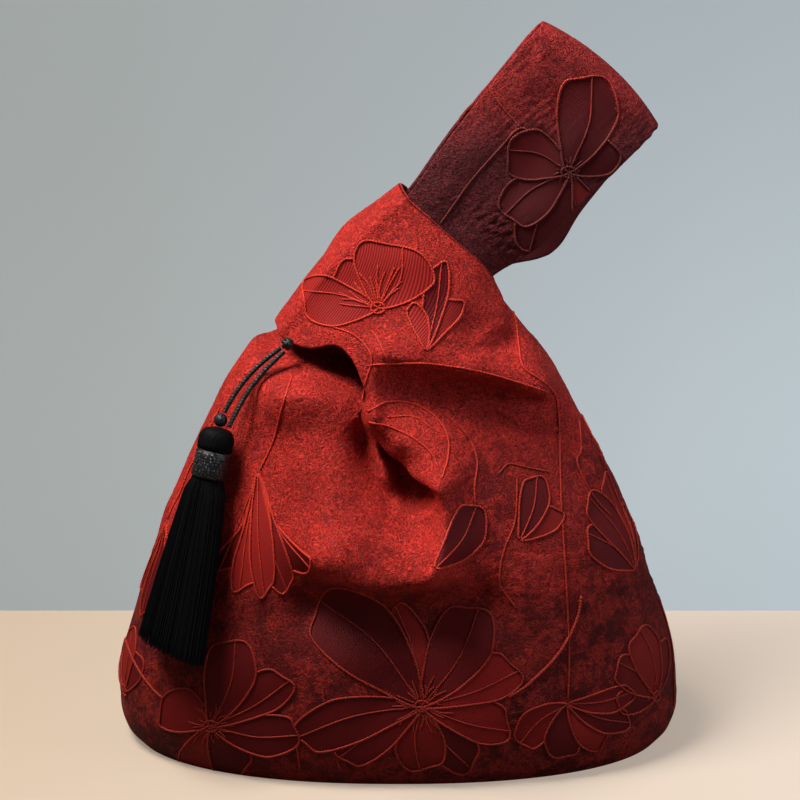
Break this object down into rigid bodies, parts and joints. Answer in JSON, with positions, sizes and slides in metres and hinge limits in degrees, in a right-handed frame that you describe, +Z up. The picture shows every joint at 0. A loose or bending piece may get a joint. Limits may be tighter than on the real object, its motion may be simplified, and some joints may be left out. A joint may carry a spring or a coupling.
{
  "type": "handbag",
  "caption": "Small wrist knot bag in red figured cloth: bucket body on an oval base, one handle loop threaded through a shorter one, and a black silk tassel on a cord.",
  "frame": {"origin": "middle of the base, on the floor", "axes": "+Z up; -Y is the front, which carries the tassel; +X is towards the side where the long loop rises"},
  "size_m": [0.228, 0.112, 0.2815],
  "materials": {
    "jacquard_cloth": "woven jacquard, satin figures on a crinkled matt ground",
    "lining_cloth": "plain matt weave",
    "stiff_board": "matt",
    "black_cord": "twisted, soft sheen",
    "black_silk": "silky threads",
    "silver_band": "metallic thread, glittering"
  },
  "bodies": {
    "bag": {"front_panel": "jacquard_cloth", "back_panel": "jacquard_cloth", "base_panel": "jacquard_cloth", "front_lining": "lining_cloth", "back_lining": "lining_cloth", "base_lining": "lining_cloth", "base_board": "stiff_board", "hanging_knot": "black_cord"},
    "tassel": {"tassel_cord_left": "black_cord", "tassel_cord_right": "black_cord", "cord_bead": "black_cord", "tassel_cap": "black_silk", "tassel_band": "silver_band", "tassel_skirt": "black_silk"}
  },
  "joints": [
    {"name": "tassel_swing", "type": "hinge", "parent": "bag", "child": "tassel", "pos_m": [-0.04145, -0.01987, 0.16521], "axis": [-0.4486, 0.8937, 0], "range_deg": [0, 70]}
  ]
}
